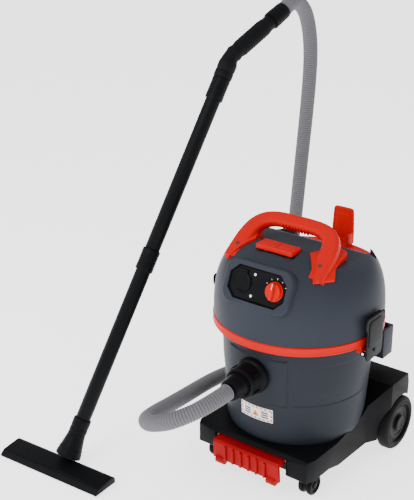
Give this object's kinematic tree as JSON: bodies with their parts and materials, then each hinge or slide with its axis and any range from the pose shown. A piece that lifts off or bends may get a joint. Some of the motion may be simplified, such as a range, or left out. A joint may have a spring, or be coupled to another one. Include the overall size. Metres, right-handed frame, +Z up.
{
  "type": "shop vacuum",
  "caption": "Wet and dry shop vacuum: round tank with a motor head on a wheeled trolley, with hose, two-piece wand and floor nozzle.",
  "frame": {"origin": "on the floor under the tank's axis", "axes": "+Z up, front with the control panel and suction inlet towards -Y, +X to the machine's left-hand viewer's right"},
  "size_m": [0.7592, 0.9297, 1.037],
  "materials": {
    "tank_plastic": "moulded slate-grey plastic, fine grain",
    "head_plastic": "moulded slate-grey plastic, satin",
    "red_plastic": "signal-red plastic, semi-gloss",
    "black_plastic": "black plastic, fine grain",
    "black_rubber": "black rubber",
    "tyre_rubber": "soft grey-black tread",
    "steel": "zinc-plated steel",
    "label": "printed label film",
    "hose_plastic": "ribbed grey hose",
    "filter_paper": "pleated filter fleece",
    "white_plastic": "white plastic",
    "copper": "wound copper",
    "alloy": "die-cast alloy",
    "board": "green circuit board"
  },
  "bodies": {
    "base": {"tank": "tank_plastic", "rim_ring": "red_plastic", "inlet_socket": "black_plastic", "inlet_seal": "black_rubber", "inlet_deflector": "black_plastic", "warning_label": "label", "tool_holder": "head_plastic", "trolley_frame": "black_plastic", "rear_axle": "steel", "axle_washers": "steel", "pedal_pin": "steel", "latch_pins": "steel", "hose": "hose_plastic", "hose_cuff_inlet": "black_plastic", "hose_cuff_handle": "black_plastic", "wand_lower": "black_plastic", "wand_upper": "black_plastic", "wand_handle": "black_plastic", "floor_nozzle": "black_plastic"},
    "head": {"head_shell": "head_plastic", "head_base": "black_plastic", "head_gasket": "black_rubber", "carry_handle": "red_plastic", "cable_hook": "red_plastic", "control_panel": "black_plastic", "head_screws": "steel", "outlet_socket": "black_plastic", "switch_block": "black_plastic", "control_board": "board", "key_springs": "steel", "cord_gland": "black_plastic", "exhaust_grille": "black_plastic", "filter_left": "filter_paper", "filter_right": "filter_paper", "float_cage": "black_plastic", "turbine_case": "alloy", "motor_frame": "alloy", "stator": "copper", "bearings": "steel", "brush_holders": "black_plastic", "motor_hood": "black_plastic"},
    "rear_wheel_left": {"tyre_left": "tyre_rubber", "rim_left": "black_plastic", "hub_cap_left": "black_plastic"},
    "rear_wheel_right": {"tyre_right": "tyre_rubber", "rim_right": "black_plastic", "hub_cap_right": "black_plastic"},
    "castor_left": {"castor_fork_left": "black_plastic"},
    "castor_right": {"castor_fork_right": "black_plastic"},
    "castor_roller_left": {"castor_wheels_left": "black_plastic"},
    "castor_roller_right": {"castor_wheels_right": "black_plastic"},
    "pedal": {"brake_pedal": "red_plastic"},
    "latch_arm_left": {"latch_left": "black_plastic"},
    "latch_arm_right": {"latch_right": "black_plastic"},
    "flap": {"outlet_flap": "black_plastic"},
    "knob": {"switch_knob": "red_plastic"},
    "key": {"clean_key": "red_plastic"},
    "float_body": {"float": "white_plastic"},
    "rotor_body": {"rotor": "copper", "impeller": "alloy"}
  },
  "joints": [
    {"name": "rear_wheel_left_spin", "type": "hinge", "parent": "base", "child": "rear_wheel_left", "pos_m": [-0.185, 0.162, 0.068], "axis": [1, 0, 0], "continuous": true},
    {"name": "castor_left_swivel", "type": "hinge", "parent": "base", "child": "castor_left", "pos_m": [-0.128, -0.15, 0.07], "axis": [0, 0, 1], "continuous": true},
    {"name": "castor_left_roll", "type": "hinge", "parent": "castor_left", "child": "castor_roller_left", "pos_m": [-0.128, -0.132, 0.025], "axis": [1, 0, 0], "continuous": true},
    {"name": "latch_left_swing", "type": "hinge", "parent": "base", "child": "latch_arm_left", "pos_m": [-0.199, -0.012, 0.345], "axis": [0, -1, 0], "range_deg": [0, 80]},
    {"name": "rear_wheel_right_spin", "type": "hinge", "parent": "base", "child": "rear_wheel_right", "pos_m": [0.185, 0.162, 0.068], "axis": [1, 0, 0], "continuous": true},
    {"name": "castor_right_swivel", "type": "hinge", "parent": "base", "child": "castor_right", "pos_m": [0.128, -0.15, 0.07], "axis": [0, 0, 1], "continuous": true},
    {"name": "castor_right_roll", "type": "hinge", "parent": "castor_right", "child": "castor_roller_right", "pos_m": [0.128, -0.132, 0.025], "axis": [1, 0, 0], "continuous": true},
    {"name": "latch_right_swing", "type": "hinge", "parent": "base", "child": "latch_arm_right", "pos_m": [0.199, -0.012, 0.345], "axis": [0, 1, 0], "range_deg": [0, 80]},
    {"name": "brake_pedal_press", "type": "hinge", "parent": "base", "child": "pedal", "pos_m": [0, -0.178, 0.094], "axis": [1, 0, 0], "range_deg": [0, 12]},
    {"name": "head_lift", "type": "slide", "parent": "base", "child": "head", "axis": [0, 0, 1], "range_m": [0, 0.36]},
    {"name": "outlet_flap_open", "type": "hinge", "parent": "head", "child": "flap", "pos_m": [-0.041, -0.1643, 0.52564], "axis": [-1, 0, 0], "range_deg": [0, 100]},
    {"name": "switch_turn", "type": "hinge", "parent": "head", "child": "knob", "pos_m": [0.046, -0.172, 0.4986], "axis": [0, -0.9336, 0.3584], "range_deg": [-60, 60]},
    {"name": "clean_key_press", "type": "slide", "parent": "head", "child": "key", "axis": [0, 0, -1], "range_m": [0, 0.004], "stiffness_N_per_m": 900, "springref_m": -0.002, "deforming": ["key_springs"]},
    {"name": "float_rise", "type": "slide", "parent": "head", "child": "float_body", "axis": [0, 0, 1], "range_m": [0, 0.03]},
    {"name": "rotor_spin", "type": "hinge", "parent": "head", "child": "rotor_body", "pos_m": [0, 0, 0.4206], "axis": [0, 0, 1], "continuous": true}
  ]
}
